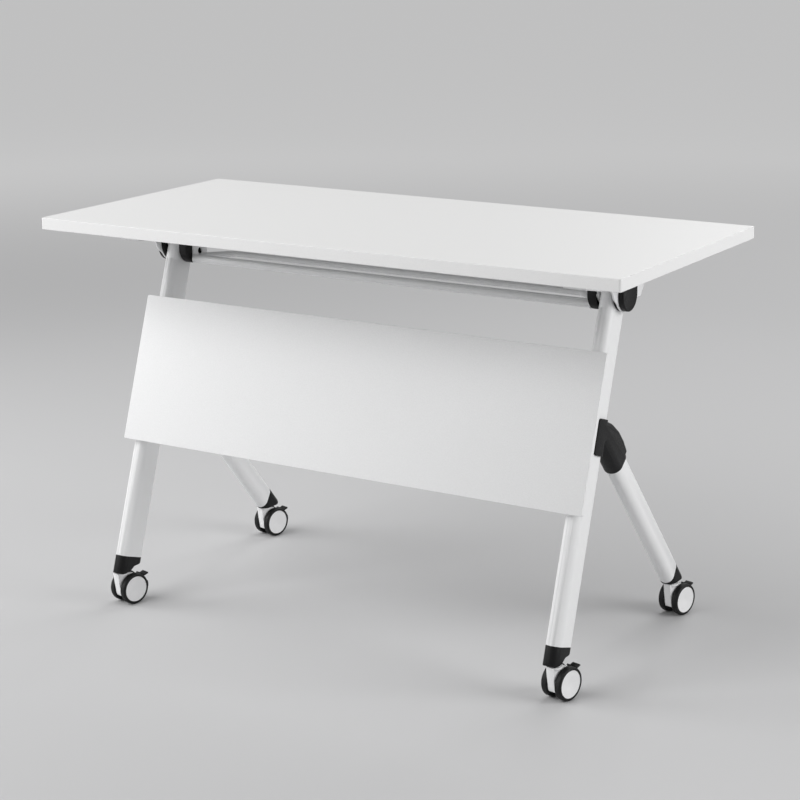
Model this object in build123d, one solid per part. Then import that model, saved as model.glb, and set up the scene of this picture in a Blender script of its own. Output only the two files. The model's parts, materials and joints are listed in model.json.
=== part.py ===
from build123d import *

import os
from math import cos, hypot, radians, sin, sqrt

# Flip top training table, in millimetres. Origin on the floor under the middle of the
# tabletop, +X to the right along its length, -Y to the modesty panel, +Z up.
# The right-hand pieces are drawn and the left-hand ones mirrored; the four casters are alike.

# Tabletop
TOP_LENGTH = 1200.0
TOP_DEPTH = 550.0
TOP_HEIGHT = 750.0
BOARD = 22.0
BAND = 2.0
TOP_CORNER_R = 4.0
BAND_EDGE_R = 1.0

# Where the frame stands under the top
LEG_INSET = 133.0
PIVOT_Y = -24.0
PIVOT_DROP = 73.0
LEG_X = TOP_LENGTH / 2 - LEG_INSET
PIVOT_Z = TOP_HEIGHT - PIVOT_DROP

# Main legs: flat-oval steel tube, leaning back at the top
LEG_WIDE = 30.0
LEG_DEEP = 60.0
LEG_WALL = 2.0
LEG_LEAN = 18.8
FRONT_SEAM_Z = 92.0
LEG_LENGTH = (PIVOT_Z - FRONT_SEAM_Z) / cos(radians(LEG_LEAN))
HEAD_LENGTH = 38.0
PLUG_LENGTH = 40.0
PLUG_CLEAR = 0.1

# Rear legs: flat-oval tube, branching from the main legs
REAR_DEEP = 45.0
REAR_LEAN = 40.5
REAR_SEAM_Z = 84.3
REAR_SLANT = 14.0
JUNCTION = 227.4
REAR_TOP_CUT = 236.0
JUNCTION_Y = PIVOT_Y - JUNCTION * sin(radians(LEG_LEAN))
JUNCTION_Z = PIVOT_Z - JUNCTION * cos(radians(LEG_LEAN))
REAR_LENGTH = (JUNCTION_Z - REAR_SEAM_Z) / cos(radians(REAR_LEAN))

# Moulded cover over the leg joint
COVER_WALL = 3.0
COVER_SLEEVE = 129.0
COVER_SLEEVE_START = 36.0
SADDLE_TOP = 225.0
SADDLE_BOTTOM = 289.0
SADDLE_FRONT = 13.0
SADDLE_CORNER_R = 9.0
COVER_ROUND_R = 10.0
HUMP_FRONT = 2.0
HUMP_TOP = -12.0
HUMP_BACK = ((44.0, 24.0), (73.0, 30.5), (100.0, 31.0))
HUMP_END = 26.5
HUMP_FOOT = 48.0
HUMP_LOW = -14.0
HUMP_FOOT_LIFT = 16.0

# Foot caps and caster stems
STEM_OUTWARD = 3.5
FRONT_STEM_AHEAD = 19.5
REAR_STEM_BEHIND = 5.4
STEM_X = LEG_X + STEM_OUTWARD
FRONT_STEM_Y = PIVOT_Y - LEG_LENGTH * sin(radians(LEG_LEAN)) - FRONT_STEM_AHEAD
REAR_STEM_Y = JUNCTION_Y + REAR_LENGTH * sin(radians(REAR_LEAN)) + REAR_STEM_BEHIND
CAP_BOTTOM = 66.0
FRONT_TOE_R = 6.0
FRONT_HEEL_Z = 73.5
FRONT_HEEL_R = 3.0
FRONT_STEP_START = 4.0
FRONT_STEP_END = 18.0
FRONT_STEP_R = 6.0
REAR_TOE_R = 2.0
REAR_HEEL_R = 9.0
STEM_R = 5.5
STEM_TOP = 92.0
RUN_CLEAR = 0.05

# Arms: steel channels under the board, with a cheek each side of the leg
INNER_GAP = 1.0
OUTER_GAP = 5.0
ARM_STEEL = 3.0
ARM_END_INSET = 99.0
ARM_HALF_LENGTH = TOP_DEPTH / 2 - ARM_END_INSET
ARM_TIP_DEPTH = 25.0
CHEEK_R = 39.0
INNER_CHEEK_R = 30.0
ARM_BEND_R = 3.0
ARM_END_SCREW = 24.0
ARM_PLUG_FACE = 2.0
ARM_PLUG_DEEP = 10.0
ARM_PLUG_CLEAR = 0.1
ARM_SCREW_YS = (ARM_END_SCREW - ARM_HALF_LENGTH, -96.0, 72.0, ARM_HALF_LENGTH - ARM_END_SCREW)

# Lower edge of the outer cheek, as Y and Z from the pivot: ahead of it and behind it
CHEEK_SHOULDER = -21.0
CHEEK_AHEAD = ((-102.0, 15.0), (-56.0, 7.0), (-46.0, -10.0))
CHEEK_BEHIND = ((57.0, CHEEK_SHOULDER), (67.0, -9.0), (78.0, 12.0))

# Pivot: bolt, hub, washers, lock disc
BOLT_R = 5.0
BOLT_HEAD_AF = 17.0
BOLT_HEAD_THICK = 6.4
NUT_THICK = 5.0
HUB_R = 15.0
HEAD_FLAT_R = 24.0
SPACER_R = 38.0
WASHER_SLACK = 0.1
SPIGOT_R = 10.0
DISC_R = 19.0
DISC_THICK = 3.0
DISC_STANDOFF = 3.0
LATCH_ANGLE = -68.0
FLIP_ANGLE = 90.0

# Lock: latch plates, carried by the ends of the release rod
LATCH_WIDE = 8.0
LATCH_THICK = 2.6
LATCH_TRAVEL = 6.0
LATCH_TIP_GAP = 0.3
LATCH_LENGTH = 12.4
LATCH_PAD = 1.5
LATCH_PAD_WIDE = 6.2
NOTCH_CLEAR = 0.3
GUIDE_CLEAR = 0.2
GUIDE_WALL = 2.0
PIN_REACH = 28.0
PIN_R = 3.8
RIVET_R = 2.0
PIN_CLEAR = 2.1
SLOT_SPARE = 5.0
SLOT_CLEAR = 2.0
ROD_R = 6.0
ROD_Y = 27.0
ROD_BEND_R = 14.0
ROD_END_GAP = 1.5
SPRING_R = 2.6
SPRING_WIRE_R = 0.35
SPRING_TURNS = 2.5

# D-shaped covers on the arms: radius of the round end and its centre
INNER_D_R = 32.0
INNER_D_AHEAD = 1.5
INNER_D_DOWN = 7.0
INNER_D_Y = PIVOT_Y - INNER_D_AHEAD
INNER_D_Z = PIVOT_Z - INNER_D_DOWN
INNER_D_DEPTH = 17.0
OUTER_D_R = 28.0
OUTER_D_AHEAD = 4.0
OUTER_D_DOWN = 9.0
OUTER_D_Y = PIVOT_Y - OUTER_D_AHEAD
OUTER_D_Z = PIVOT_Z - OUTER_D_DOWN
OUTER_D_DEPTH = 10.0
D_TOP_UP = 39.0
D_TOP_Z = PIVOT_Z + D_TOP_UP
D_FACE = 2.0
D_WALL = 2.5
D_EDGE_R = 2.0

# Tube that ties the arms together, with a plate welded to each end
TIE_R = 8.0
TIE_WALL = 1.5
TIE_AHEAD = 9.0
TIE_DOWN = 29.0
TIE_Y = PIVOT_Y - TIE_AHEAD
TIE_Z = PIVOT_Z - TIE_DOWN
PLATE_STEEL = 3.0
PLATE_AHEAD = 14.0
PLATE_BEHIND = 29.0
PLATE_DOWN = 35.0
PLATE_FRONT = PIVOT_Y - PLATE_AHEAD
PLATE_REAR = PIVOT_Y + PLATE_BEHIND
PLATE_FOOT = PIVOT_Z - PLATE_DOWN
PLATE_CORNER_R = 4.0
PLATE_HEAD_TALL = 20.0
COVER_SCREW_UP = 26.0
COVER_SCREW_Z = PIVOT_Z + COVER_SCREW_UP
COVER_SCREW_SPREAD = 18.0
COVER_SCREW_R = 2.0
COVER_SCREW_HEAD_R = 3.6
COVER_SCREW_HEAD = 2.2
COVER_BOSS_R = 4.5
PEG_R = 2.5
PEG_CLEAR = 0.1

# Modesty panel: a folded steel tray on four saddle blocks
PANEL_INSET = 107.5
PANEL_LENGTH = TOP_LENGTH - 2 * PANEL_INSET
PANEL_HEIGHT = 280.0
PANEL_STEEL = 1.2
PANEL_DEPTH = 9.7
PANEL_CORNER_R = 3.0
PANEL_GAP = 3.0
PANEL_FROM_PIVOT = 254.8
BLOCK_WIDE = 24.0
BLOCK_TALL = 40.0
BLOCK_SPREAD = 95.0
BLOCK_WRAP = 7.0
PANEL_SCREW_R = 3.0
PANEL_SCREW_HEAD_R = 5.5
PANEL_SCREW_HEAD = 4.0
COVER_PIN_R = 2.0
COVER_PIN_INSET = 25.0

# Wood screws that hold the arms to the board
WOOD_SCREW_R = 2.5
WOOD_SCREW_HEAD_R = 4.6
WOOD_SCREW_HEAD = 2.8
WOOD_SCREW_BITE = 15.0

# Casters: twin wheels on a trailing body
WHEEL_R = 30.0
WHEEL_THICK = 13.0
WHEEL_GAP = 17.0
RIM_R = 24.8
TREAD_EDGE_R = 3.0
TRAIL = 18.0
CASTER_TURN = -13.0
WEB_HALF = 7.5
WEB_R = 27.0
WEB_BOTTOM = 18.0
NECK_R = 13.5
NECK_TOP = 64.0
NECK_THICK = 3.0
COLLAR_R = 9.0
STEM_BOTTOM = 48.0
AXLE_R = 3.0
AXLE_HALF = 19.5
HUB_INSET = 0.5
HUB_FACE = 1.0
PEDAL_PIN_R = 2.0
PEDAL_PIN_REACH = 14.0
PEDAL_PIN_ANGLE = 45.0
PEDAL_EYE_R = 5.5
PEDAL_HALF = 4.2
PEDAL_SLOT_HALF = 4.5
PEDAL_PAD_HALF = 8.5
PEDAL_PAD_GAP = 1.0
PEDAL_PAD = 3.0
PEDAL_PAD_ANGLE = 42.0
PEDAL_WING_HALF = 17.0
PEDAL_WING = 1.8
PEDAL_WING_LOW = -6.0
PEDAL_WING_HIGH = 14.0
PEDAL_HEAD_DEEP = 9.6
PEDAL_HEAD_TALL = 3.2
PEDAL_HEAD_TILT = 18.0
PEDAL_HEAD_MIDDLE = (54.2, 47.2)
PEDAL_HEAD_R = 1.0
PEDAL_NECK_HALF = 4.2

# Planes of the arm and the leg, from the leg plane outwards
LEG_INNER = LEG_X - LEG_WIDE / 2
LEG_OUTER = LEG_X + LEG_WIDE / 2
INNER_CHEEK = LEG_INNER - INNER_GAP - ARM_STEEL
OUTER_CHEEK = LEG_OUTER + OUTER_GAP
ARM_OUTER = OUTER_CHEEK + ARM_STEEL
ARM_MIDDLE = (INNER_CHEEK + ARM_OUTER) / 2
INNER_COVER = INNER_CHEEK - INNER_D_DEPTH
OUTER_COVER = ARM_OUTER + OUTER_D_DEPTH
PLATE_X = INNER_COVER - PLATE_STEEL
DISC_X = INNER_CHEEK - DISC_STANDOFF - DISC_THICK
BOARD_UNDER = TOP_HEIGHT - BOARD
WEB_UNDER = BOARD_UNDER - ARM_STEEL
PANEL_BACK = LEG_DEEP / 2 + PANEL_GAP
PANEL_FRONT = PANEL_BACK + PANEL_DEPTH
BASE = (Align.CENTER, Align.CENTER, Align.MIN)


def along_x(radius, x0, x1, y, z):
    """Round bar along X between two planes."""
    return Pos(x0, y, z) * Rot(0, 90, 0) * Cylinder(radius, x1 - x0, align=BASE)


def hex_along_x(across_flats, x0, x1, y, z):
    hexagon = RegularPolygon(across_flats / 2, 6, major_radius=False)
    return extrude(Plane.YZ.offset(x0) * Pos(y, z) * hexagon, amount=x1 - x0)


def slab(face, x0, x1):
    """A face drawn in Y and Z, made solid between two planes of X."""
    return extrude(Plane.YZ.offset(x0) * face, amount=x1 - x0, dir=(1, 0, 0))


def outline(*points):
    return Polygon(*points, align=None)


def disc(radius, y, z):
    return Pos(y, z) * Circle(radius)


def mirrored(shape):
    return mirror(shape, about=Plane.YZ)


def polar(y, z, reach, angle):
    return (y + reach * cos(radians(angle)), z + reach * sin(radians(angle)))


def leg_point(down, forward=0.0):
    """Y and Z of a point below the pivot along the leg, and forward of its centreline."""
    lean = radians(LEG_LEAN)
    y = PIVOT_Y - down * sin(lean) - forward * cos(lean)
    z = PIVOT_Z - down * cos(lean) + forward * sin(lean)
    return (y, z)


def rear_point(down, behind=0.0):
    """The same for the rear leg, from the leg joint down."""
    lean = radians(REAR_LEAN)
    y = JUNCTION_Y + down * sin(lean) + behind * cos(lean)
    z = JUNCTION_Z - down * cos(lean) + behind * sin(lean)
    return (y, z)


def leg_plane(down):
    """Plane across the main leg, facing down it, with its X axis to the rear."""
    lean = radians(LEG_LEAN)
    return Plane(
        origin=(LEG_X, *leg_point(down)),
        x_dir=(0, cos(lean), -sin(lean)),
        z_dir=(0, -sin(lean), -cos(lean)),
    )


def rear_plane(down):
    lean = radians(REAR_LEAN)
    return Plane(
        origin=(LEG_X, *rear_point(down)),
        x_dir=(0, cos(lean), sin(lean)),
        z_dir=(0, sin(lean), -cos(lean)),
    )


def leg_bar(start, end, grow=0.0):
    """Flat-oval bar on the main leg's line; grow widens it all round."""
    section = SlotOverall(LEG_DEEP + 2 * grow, LEG_WIDE + 2 * grow)
    return extrude(leg_plane(start) * section, amount=end - start)


def rear_bar(start, end, grow=0.0):
    section = SlotOverall(REAR_DEEP + 2 * grow, LEG_WIDE + 2 * grow)
    return extrude(rear_plane(start) * section, amount=end - start)


def panel_plane():
    """Plane through the pivot, parallel to the legs, facing forward; its Y axis runs up the leg."""
    lean = radians(LEG_LEAN)
    return Plane(origin=(0, PIVOT_Y, PIVOT_Z), x_dir=(1, 0, 0), z_dir=(0, -cos(lean), sin(lean)))


def panel_block_places():
    """Places of the right-hand saddle blocks on the panel plane."""
    return [(LEG_X, -PANEL_FROM_PIVOT + offset) for offset in (BLOCK_SPREAD, -BLOCK_SPREAD)]


# Tabletop ------------------------------------------------------------------------------


def tabletop_board():
    size = (TOP_LENGTH - 2 * BAND, TOP_DEPTH - 2 * BAND)
    board = extrude(RectangleRounded(*size, TOP_CORNER_R - BAND), amount=BOARD)
    board = Pos(0, 0, BOARD_UNDER) * board
    for x in (-ARM_MIDDLE, ARM_MIDDLE):
        for y in ARM_SCREW_YS:
            board -= Pos(x, y, BOARD_UNDER) * Cylinder(WOOD_SCREW_R, WOOD_SCREW_BITE, align=BASE)
    return board


def edge_band():
    outer = extrude(RectangleRounded(TOP_LENGTH, TOP_DEPTH, TOP_CORNER_R), amount=BOARD)
    rims = outer.faces().sort_by(Axis.Z)[0].edges() + outer.faces().sort_by(Axis.Z)[-1].edges()
    outer = fillet(rims, BAND_EDGE_R)
    size = (TOP_LENGTH - 2 * BAND, TOP_DEPTH - 2 * BAND)
    band = outer - extrude(RectangleRounded(*size, TOP_CORNER_R - BAND), amount=BOARD)
    return Pos(0, 0, BOARD_UNDER) * band


def arm():
    """Channel under the board; its outer cheek spreads round the pivot, its inner one is a tongue."""
    tip = BOARD_UNDER - ARM_TIP_DEPTH
    strip = outline(
        (-ARM_HALF_LENGTH, BOARD_UNDER),
        (-ARM_HALF_LENGTH, tip),
        (ARM_HALF_LENGTH, tip),
        (ARM_HALF_LENGTH, BOARD_UNDER),
    )
    reach = sqrt(CHEEK_R**2 - CHEEK_SHOULDER**2)
    ahead = [(PIVOT_Y + y, PIVOT_Z + z) for y, z in CHEEK_AHEAD]
    behind = [(PIVOT_Y + y, PIVOT_Z + z) for y, z in CHEEK_BEHIND]
    outer = outline(
        (-ARM_HALF_LENGTH, BOARD_UNDER),
        (-ARM_HALF_LENGTH, tip),
        *ahead,
        (PIVOT_Y - reach, PIVOT_Z + CHEEK_SHOULDER),
        (PIVOT_Y + reach, PIVOT_Z + CHEEK_SHOULDER),
        *behind,
        (ARM_HALF_LENGTH, tip),
        (ARM_HALF_LENGTH, BOARD_UNDER),
    )
    outer += disc(CHEEK_R, PIVOT_Y, PIVOT_Z)
    tongue = Pos(PIVOT_Y, PIVOT_Z) * Rectangle(
        2 * INNER_CHEEK_R, BOARD_UNDER - PIVOT_Z, align=(Align.CENTER, Align.MIN)
    )
    inner = strip + tongue + disc(INNER_CHEEK_R, PIVOT_Y, PIVOT_Z)
    shape = slab(inner, INNER_CHEEK, ARM_MIDDLE) + slab(outer, ARM_MIDDLE, ARM_OUTER)
    corners = shape.faces().sort_by(Axis.Z)[-1].edges().filter_by(Axis.Y)
    corners = corners.sort_by(Axis.X)
    shape = fillet([corners[0], corners[-1]], ARM_BEND_R)
    inside = Box(ARM_OUTER - INNER_CHEEK - 2 * ARM_STEEL, 3 * ARM_HALF_LENGTH, WEB_UNDER, align=BASE)
    shape -= Pos(ARM_MIDDLE, 0, 0) * inside
    shape -= along_x(HUB_R + RUN_CLEAR, INNER_CHEEK, LEG_X, PIVOT_Y, PIVOT_Z)
    shape -= along_x(BOLT_R + RUN_CLEAR, LEG_X, ARM_OUTER, PIVOT_Y, PIVOT_Z)
    for y in cover_screw_ys():
        shape -= along_x(COVER_SCREW_R, INNER_CHEEK, LEG_X, y, COVER_SCREW_Z)
        shape -= along_x(PEG_R + PEG_CLEAR, LEG_X, ARM_OUTER, y, COVER_SCREW_Z)
    for y in ARM_SCREW_YS:
        shape -= Pos(ARM_MIDDLE, y, WEB_UNDER) * Cylinder(WOOD_SCREW_R, ARM_STEEL, align=BASE)
    return shape


def arm_plug():
    """Plug in the front end of the arm's channel; its face covers the cut steel."""
    tip = BOARD_UNDER - ARM_TIP_DEPTH
    wide = ARM_OUTER - INNER_CHEEK
    low = (Align.CENTER, Align.MAX, Align.MIN)
    face = Pos(ARM_MIDDLE, -ARM_HALF_LENGTH, tip) * Box(wide, ARM_PLUG_FACE, ARM_TIP_DEPTH, align=low)
    inside = wide - 2 * ARM_STEEL - 2 * ARM_PLUG_CLEAR
    tall = ARM_TIP_DEPTH - ARM_STEEL - ARM_PLUG_CLEAR
    body = Box(inside, ARM_PLUG_DEEP, tall, align=(Align.CENTER, Align.MIN, Align.MIN))
    return face + Pos(ARM_MIDDLE, -ARM_HALF_LENGTH, tip) * body


def wood_screw(x, y):
    head = Cylinder(WOOD_SCREW_HEAD_R, WOOD_SCREW_HEAD, align=BASE)
    head = fillet(head.edges().sort_by(Axis.Z)[0], WOOD_SCREW_HEAD / 2)
    shank = Cylinder(WOOD_SCREW_R, WOOD_SCREW_HEAD + ARM_STEEL + WOOD_SCREW_BITE, align=BASE)
    return Pos(x, y, WEB_UNDER - WOOD_SCREW_HEAD) * (head + shank)


def tie_tube():
    """Tube with end plates that lie on the inner covers and are slotted for the rod's pins."""
    tube = along_x(TIE_R, -PLATE_X, PLATE_X, TIE_Y, TIE_Z)
    tube -= along_x(TIE_R - TIE_WALL, -PLATE_X, PLATE_X, TIE_Y, TIE_Z)
    foot = Pos((PLATE_FRONT + PLATE_REAR) / 2, PLATE_FOOT) * RectangleRounded(
        PLATE_REAR - PLATE_FRONT, 2 * (D_TOP_Z - PLATE_FOOT), PLATE_CORNER_R, align=(Align.CENTER, Align.MIN)
    )
    foot &= Pos(INNER_D_Y, D_TOP_Z) * Rectangle(4 * INNER_D_R, 4 * INNER_D_R, align=(Align.CENTER, Align.MAX))
    head = Pos(INNER_D_Y, D_TOP_Z) * RectangleRounded(
        2 * INNER_D_R, PLATE_HEAD_TALL, PLATE_CORNER_R, align=(Align.CENTER, Align.MAX)
    )
    plate = slab(foot + head, PLATE_X, INNER_COVER)
    plate -= slab(rod_slot(), PLATE_X, INNER_COVER)
    for y in cover_screw_ys():
        plate -= along_x(COVER_SCREW_R, PLATE_X, INNER_COVER, y, COVER_SCREW_Z)
    return tube + plate + mirrored(plate)


# D covers --------------------------------------------------------------------------------


def cover_screw_ys():
    return (INNER_D_Y - COVER_SCREW_SPREAD, INNER_D_Y + COVER_SCREW_SPREAD)


def d_face(radius, centre_y, centre_z, top):
    left = centre_y - radius
    right = centre_y + radius
    return make_face(
        [
            Line((left, top), (left, centre_z)),
            ThreePointArc((left, centre_z), (centre_y, centre_z - radius), (right, centre_z)),
            Line((right, centre_z), (right, top)),
            Line((right, top), (left, top)),
        ]
    )


def d_shell(radius, centre_y, centre_z, face_x, open_x):
    """Hollow D, closed at face_x and open at open_x."""
    low = min(face_x, open_x)
    high = max(face_x, open_x)
    shell = slab(d_face(radius, centre_y, centre_z, D_TOP_Z), low, high)
    shell = fillet(shell.edges().filter_by(Axis.X).group_by(Axis.Z)[-1], D_EDGE_R)
    outer_face = shell.faces().sort_by(Axis.X)[0 if face_x < open_x else -1]
    shell = fillet(outer_face.edges(), D_EDGE_R)
    hollow = d_face(radius - D_WALL, centre_y, centre_z, D_TOP_Z - D_WALL)
    if face_x < open_x:
        return shell - slab(hollow, face_x + D_FACE, open_x)
    return shell - slab(hollow, open_x, face_x - D_FACE)


def outer_cover():
    shell = d_shell(OUTER_D_R, OUTER_D_Y, OUTER_D_Z, OUTER_COVER, ARM_OUTER)
    for y in cover_screw_ys():
        shell += along_x(PEG_R, OUTER_CHEEK, OUTER_COVER - D_FACE, y, COVER_SCREW_Z)
    return shell


def rod_slot():
    """Slot for the rod's pin: the latch's travel, and more towards the pivot."""
    length = LATCH_TRAVEL + SLOT_SPARE
    slot = SlotOverall(2 * PIN_R + length + 2 * SLOT_CLEAR, 2 * (PIN_R + SLOT_CLEAR))
    middle = polar(PIVOT_Y, PIVOT_Z, PIN_REACH - length / 2, LATCH_ANGLE)
    return Pos(*middle) * Rot(0, 0, LATCH_ANGLE) * slot


def latch_slab(start, end, wide, x0, x1):
    """Bar square to X on the latch's line, between two distances from the pivot."""
    bar = Rectangle(end - start, wide, align=(Align.MIN, Align.CENTER))
    bar = Pos(PIVOT_Y, PIVOT_Z) * Rot(0, 0, LATCH_ANGLE) * Pos(start, 0) * bar
    return slab(bar, x0, x1)


def inner_cover():
    """Lock housing, with guides for the latch and a slot for the rod's pin."""
    shell = d_shell(INNER_D_R, INNER_D_Y, INNER_D_Z, INNER_COVER, INNER_CHEEK)
    start = DISC_R + GUIDE_WALL
    opening = LATCH_WIDE + 2 * GUIDE_CLEAR
    wide = opening + 2 * GUIDE_WALL
    guides = latch_slab(start, 2 * INNER_D_R, wide, INNER_COVER + D_FACE / 2, DISC_X + LATCH_PAD_WIDE)
    guides -= latch_slab(start, 2 * INNER_D_R, opening, INNER_COVER, INNER_CHEEK)
    lining = d_face(INNER_D_R - D_WALL / 2, INNER_D_Y, INNER_D_Z, D_TOP_Z - D_WALL)
    shell += guides & slab(lining, INNER_COVER, INNER_CHEEK)
    shell -= slab(rod_slot(), INNER_COVER, INNER_COVER + D_FACE)
    for y in cover_screw_ys():
        shell += along_x(COVER_BOSS_R, INNER_COVER + D_FACE, INNER_CHEEK, y, COVER_SCREW_Z)
        shell -= along_x(COVER_SCREW_R, INNER_COVER, INNER_CHEEK, y, COVER_SCREW_Z)
    return shell


def cover_screw(y):
    """Screw through the tie tube's plate and the inner cover into the arm."""
    head = along_x(COVER_SCREW_HEAD_R, PLATE_X - COVER_SCREW_HEAD, PLATE_X, y, COVER_SCREW_Z)
    return head + along_x(COVER_SCREW_R, PLATE_X, INNER_CHEEK + ARM_STEEL, y, COVER_SCREW_Z)


# Pivot and lock ----------------------------------------------------------------------------


def leg_head():
    """Rounded top of the leg, with the plug in the tube and the hub through the inner cheek."""
    half = LEG_WIDE / 2
    straight = LEG_DEEP / 2 - half
    section = Rectangle(straight, LEG_WIDE, align=(Align.MIN, Align.CENTER))
    section += Pos(straight, 0) * Circle(half)
    section &= Rectangle(LEG_DEEP, LEG_WIDE, align=(Align.MIN, Align.CENTER))
    upright = Plane(origin=(LEG_X, PIVOT_Y, PIVOT_Z), x_dir=(0, 0, 1), z_dir=(0, 1, 0))
    pivot = Axis((LEG_X, PIVOT_Y, PIVOT_Z), (1, 0, 0))
    head = revolve(upright * section, pivot)
    head += leg_bar(0, HEAD_LENGTH)
    head += leg_bar(HEAD_LENGTH, HEAD_LENGTH + PLUG_LENGTH, -LEG_WALL - PLUG_CLEAR)
    head += along_x(HEAD_FLAT_R, LEG_INNER, LEG_OUTER, PIVOT_Y, PIVOT_Z)
    head += along_x(HUB_R, DISC_X + DISC_THICK, LEG_INNER, PIVOT_Y, PIVOT_Z)
    head += along_x(SPIGOT_R, DISC_X, LEG_INNER, PIVOT_Y, PIVOT_Z)
    return head - along_x(BOLT_R, DISC_X, LEG_OUTER, PIVOT_Y, PIVOT_Z)


def lock_disc():
    """Notched disc on the hub: one notch for the level top, one for the folded top."""
    plate = along_x(DISC_R, DISC_X, DISC_X + DISC_THICK, PIVOT_Y, PIVOT_Z)
    plate -= along_x(SPIGOT_R, DISC_X, DISC_X + DISC_THICK, PIVOT_Y, PIVOT_Z)
    bottom = DISC_R + LATCH_TIP_GAP - LATCH_TRAVEL - NOTCH_CLEAR
    notch = latch_slab(
        bottom, DISC_R + NOTCH_CLEAR, LATCH_WIDE + 2 * NOTCH_CLEAR, DISC_X, DISC_X + DISC_THICK
    )
    pivot = Axis((0, PIVOT_Y, PIVOT_Z), (1, 0, 0))
    return plate - notch - notch.rotate(pivot, -FLIP_ANGLE)


def pivot_bolt():
    head_x = ARM_OUTER + WASHER_SLACK
    tip_x = DISC_X - NUT_THICK - WASHER_SLACK
    bolt = hex_along_x(BOLT_HEAD_AF, head_x, head_x + BOLT_HEAD_THICK, PIVOT_Y, PIVOT_Z)
    return bolt + along_x(BOLT_R, tip_x, head_x, PIVOT_Y, PIVOT_Z)


def pivot_nut():
    nut = hex_along_x(BOLT_HEAD_AF, DISC_X - NUT_THICK, DISC_X, PIVOT_Y, PIVOT_Z)
    return nut - along_x(BOLT_R, DISC_X - NUT_THICK, DISC_X, PIVOT_Y, PIVOT_Z)


def pivot_washers():
    """Thin slip washer on the inner side of the leg and thick black spacer on its outer side."""
    inner_x = LEG_INNER - INNER_GAP + WASHER_SLACK
    outer_x = OUTER_CHEEK - WASHER_SLACK
    inner = along_x(HEAD_FLAT_R, inner_x, LEG_INNER, PIVOT_Y, PIVOT_Z)
    inner -= along_x(HUB_R, inner_x, LEG_INNER, PIVOT_Y, PIVOT_Z)
    outer = along_x(SPACER_R, LEG_OUTER, outer_x, PIVOT_Y, PIVOT_Z)
    outer -= along_x(BOLT_R, LEG_OUTER, outer_x, PIVOT_Y, PIVOT_Z)
    return [inner, outer]


def latch_x():
    return DISC_X + (DISC_THICK - LATCH_THICK) / 2


def latch_plate():
    start = DISC_R + LATCH_TIP_GAP
    end = start + LATCH_LENGTH
    x0 = latch_x()
    middle = x0 + LATCH_THICK / 2
    plate = latch_slab(start, end, LATCH_WIDE, x0, x0 + LATCH_THICK)
    half = LATCH_PAD_WIDE / 2
    plate += latch_slab(end - LATCH_PAD, end, LATCH_WIDE, middle - half, middle + half)
    pin = polar(PIVOT_Y, PIVOT_Z, PIN_REACH, LATCH_ANGLE)
    return plate - along_x(RIVET_R, x0, x0 + LATCH_THICK, *pin)


def release_rod():
    """Long handle rod, cranked at both ends to a pin that enters the lock housing."""
    pin_y, pin_z = polar(PIVOT_Y, PIVOT_Z, PIN_REACH, LATCH_ANGLE)
    offset = ROD_Y - pin_y
    crank_x = PLATE_X - ROD_END_GAP
    shoulder = latch_x() - PIN_CLEAR
    path = FilletPolyline(
        (-crank_x, pin_y, pin_z),
        (-crank_x + ROD_R, pin_y, pin_z),
        (-crank_x + ROD_R + offset, ROD_Y, pin_z),
        (crank_x - ROD_R - offset, ROD_Y, pin_z),
        (crank_x - ROD_R, pin_y, pin_z),
        (crank_x, pin_y, pin_z),
        radius=[ROD_R, ROD_BEND_R, ROD_BEND_R, ROD_R],
    )
    rod = sweep(Plane(origin=path @ 0, z_dir=path % 0) * Circle(ROD_R), path=path)
    rod += along_x(PIN_R, crank_x, shoulder, pin_y, pin_z)
    rod += along_x(RIVET_R, shoulder, latch_x() + LATCH_THICK, pin_y, pin_z)
    rod += along_x(PIN_R, -shoulder, -crank_x, pin_y, pin_z)
    return rod + along_x(RIVET_R, -latch_x() - LATCH_THICK, -shoulder, pin_y, pin_z)


def latch_spring():
    """Short coil between the latch and the wall of its housing."""
    wall_r = INNER_D_R - D_WALL
    angle = radians(LATCH_ANGLE)
    ahead = -INNER_D_AHEAD * cos(angle) - INNER_D_DOWN * sin(angle)
    across = hypot(INNER_D_AHEAD, INNER_D_DOWN) ** 2 - ahead**2
    wall = ahead + sqrt(wall_r**2 - across)
    start = DISC_R + LATCH_TIP_GAP + LATCH_LENGTH + SPRING_WIRE_R
    height = wall - start - 2 * SPRING_WIRE_R
    helix = Helix(height / SPRING_TURNS, height, SPRING_R)
    wire = sweep(Plane(origin=helix @ 0, z_dir=helix % 0) * Circle(SPRING_WIRE_R), path=helix)
    y, z = polar(PIVOT_Y, PIVOT_Z, start, LATCH_ANGLE)
    x = latch_x() + LATCH_THICK / 2
    base = Plane(origin=(x, y, z), x_dir=(1, 0, 0), z_dir=(0, cos(angle), sin(angle)))
    return base.location * wire


# Legs --------------------------------------------------------------------------------------


def screw_on_panel_plane(radius, start, end, place):
    base = panel_plane() * Pos(place[0], place[1], start)
    return base * Cylinder(radius, end - start, align=BASE)


def main_leg():
    tube = leg_bar(HEAD_LENGTH, LEG_LENGTH) - leg_bar(HEAD_LENGTH, LEG_LENGTH, -LEG_WALL)
    for place in panel_block_places():
        tube -= screw_on_panel_plane(PANEL_SCREW_R, -LEG_DEEP, LEG_DEEP, place)
    return tube


def rear_seam_point(behind):
    """Point on the slanting foot of the rear leg, which reaches lower in front than behind."""
    return rear_point(REAR_LENGTH - REAR_SLANT * (behind / REAR_DEEP + 0.5), behind)


def above_rear_leg():
    """Room above the rear leg's top, which is cut square to the main leg to stay under its cover."""
    side = outline(
        leg_point(0, LEG_DEEP),
        leg_point(REAR_TOP_CUT, LEG_DEEP),
        leg_point(REAR_TOP_CUT, -2 * LEG_DEEP),
        leg_point(0, -2 * LEG_DEEP),
    )
    return slab(side, LEG_X - LEG_WIDE, LEG_X + LEG_WIDE)


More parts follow.
